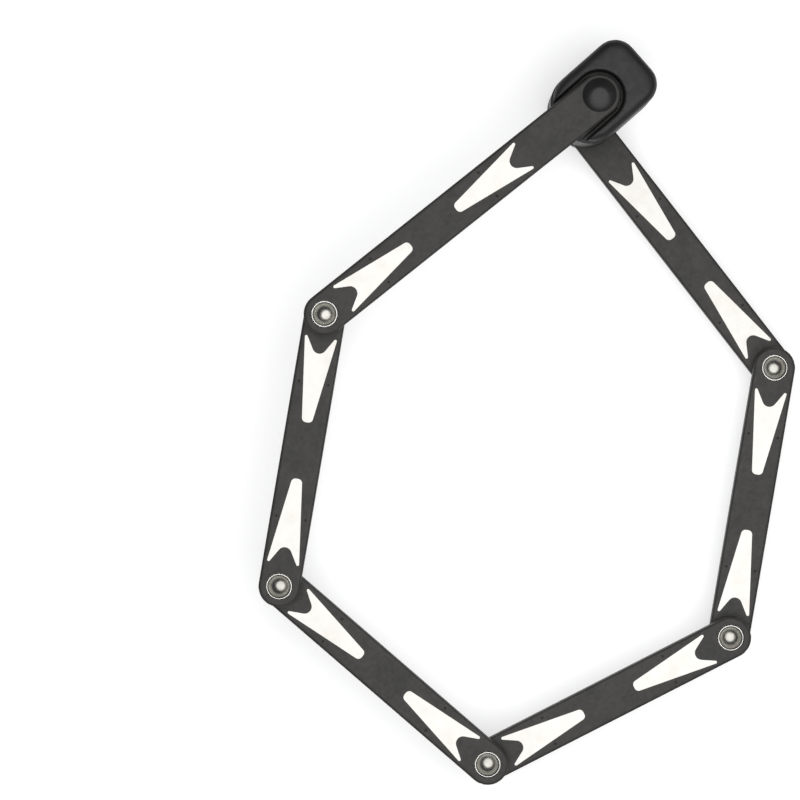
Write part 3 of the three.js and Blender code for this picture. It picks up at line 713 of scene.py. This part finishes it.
def head_face(z, way):
    """A rivet head from its middle to its edge, with a button in its well; way is 1 where it faces up."""
    bend = WELL_R / BUTTON_SLOPE
    face = []
    for k in range(17):
        slope = BUTTON_SLOPE * k / 16
        rise = bend * math.log(math.cos(slope) / math.cos(BUTTON_SLOPE))
        face.append((bend * slope, z - way * (WELL_DEPTH - rise)))
    face.append((WELL_R + 0.1, z - way * (WELL_DEPTH - 0.06)))
    face.append((LEDGE_R, z - way * LEDGE_DEPTH))
    return face + arc(HEAD_R - BEAD_R, z - way * BEAD_R, BEAD_R, way * 150, 0, 12)


def make_rivet(number):
    low, high = local_z("rivet_%d" % number)
    lower, upper = head_face(low, -1), head_face(high, 1)
    seat_low, seat_high = low + 0.95, high - 0.95
    waist = [(HEAD_R, seat_low), (SHANK_R, seat_low), (SHANK_R, seat_high), (HEAD_R, seat_high)]
    return lathe("rivet_%d_turned" % number, lower + waist + upper[::-1])


for number in range(1, 6):
    body = "link_" + LINKS[number - 1]
    at = Matrix.Translation((*hinges[number], body_at.z))
    node = "rivet_%d" % number
    rivet = put(node + "_turned", make_rivet(number), at, body, nickel, "nickel", node)
    # Inside the rolled rim the nickel is painted darker, as painted shade in the rivet's well
    rivet.data.materials.append(well_shade_nickel)
    for face in rivet.data.polygons:
        if (face.center.xy - hinges[number]).length < (HEAD_R - 2 * BEAD_R) * MM:
            face.material_index = 1
    spacer = "spacer_%d" % number
    put(spacer + "_turned", make_washer(spacer, HOLE_R, SPACER_R), at, body, nickel, "nickel", spacer)


# --- CAD nodes that stay --------------------------------------------------------------------

KEPT = [
    (steel, ["pivot_post", "bolt_cam", "locking_bolt", "bolt_carriage", "shutter_pin", "pin_cover"]),
    (black_oxide, ["case_screw_front", "case_screw_rear"]),
    (black_zinc, ["lock_block"]),
    (nickel, ["link_plate_" + letter for letter in LINKS[:5]]),
    (brass, ["%s_pin_%d" % (kind, k) for kind in ("key", "driver") for k in (1, 2, 3)]),
    (spring_steel, ["driver_spring_%d" % k for k in (1, 2, 3)]),
]
for finish, nodes in KEPT:
    for node in nodes:
        materials = frame["nodes"][node].data.materials
        materials.clear()
        materials.append(finish)


# --- floor, light and camera ----------------------------------------------------------------


# Metres from here on
FLOOR_HALF = 6.0
SOFTBOX_AT, SOFTBOX_SIZE, SOFTBOX_POWER = Vector((-0.0225, 0.0816, 0.75)), 1.1, 9.3
WORLD_COLOUR, WORLD_STRENGTH = (0.93, 0.96, 1.0, 1), 0.13


def make_floor():
    s = Shader("floor_white", Roughness=0.9, Specular_IOR_Level=0.1, Emission_Strength=0.5)
    s.bsdf.inputs["Emission Color"].default_value = (1, 1, 1, 1)
    s.colour(s.ramp(s.noise(300, 2, 1), (0.3, grey(0.6)), (0.7, grey(0.62))))
    mesh = bpy.data.meshes.new("floor")
    corners = [(x * FLOOR_HALF, y * FLOOR_HALF, 0) for x, y in ((-1, -1), (1, -1), (1, 1), (-1, 1))]
    mesh.from_pydata(corners, [], [(0, 1, 2, 3)])
    mesh.materials.append(s.material)
    floor = bpy.data.objects.new("floor", mesh)
    bpy.context.scene.collection.objects.link(floor)


def make_softbox():
    """A round softbox that faces straight down."""
    data = bpy.data.lights.new("overhead", "AREA")
    data.shape = "DISK"
    data.size = SOFTBOX_SIZE
    data.energy = SOFTBOX_POWER
    light = bpy.data.objects.new("overhead", data)
    light.location = SOFTBOX_AT
    light.visible_camera = False
    bpy.context.scene.collection.objects.link(light)


make_floor()
world = bpy.data.worlds.new("studio")
world.use_nodes = True
world.node_tree.nodes["Background"].inputs["Color"].default_value = WORLD_COLOUR
world.node_tree.nodes["Background"].inputs["Strength"].default_value = WORLD_STRENGTH
bpy.context.scene.world = world
make_softbox()

LENS = 120.12
CAMERA_AT = Vector((0.0094, -0.0861, 1.5))
CAMERA_AIM = Vector((0.04639, -0.0779, 0.04))
CAMERA_UP = Vector((-0.6592, -0.7517, -0.0209))

data = bpy.data.cameras.new("camera")
data.lens = LENS
data.sensor_width = 36
data.clip_start = 0.05
camera = bpy.data.objects.new("camera", data)
back = (CAMERA_AT - CAMERA_AIM).normalized()
right = CAMERA_UP.cross(back).normalized()
up = back.cross(right)
camera.matrix_world = Matrix.Translation(CAMERA_AT) @ Matrix((right, up, back)).transposed().to_4x4()
bpy.context.scene.collection.objects.link(camera)
bpy.context.scene.camera = camera
bpy.context.scene.view_settings.view_transform = "Standard"
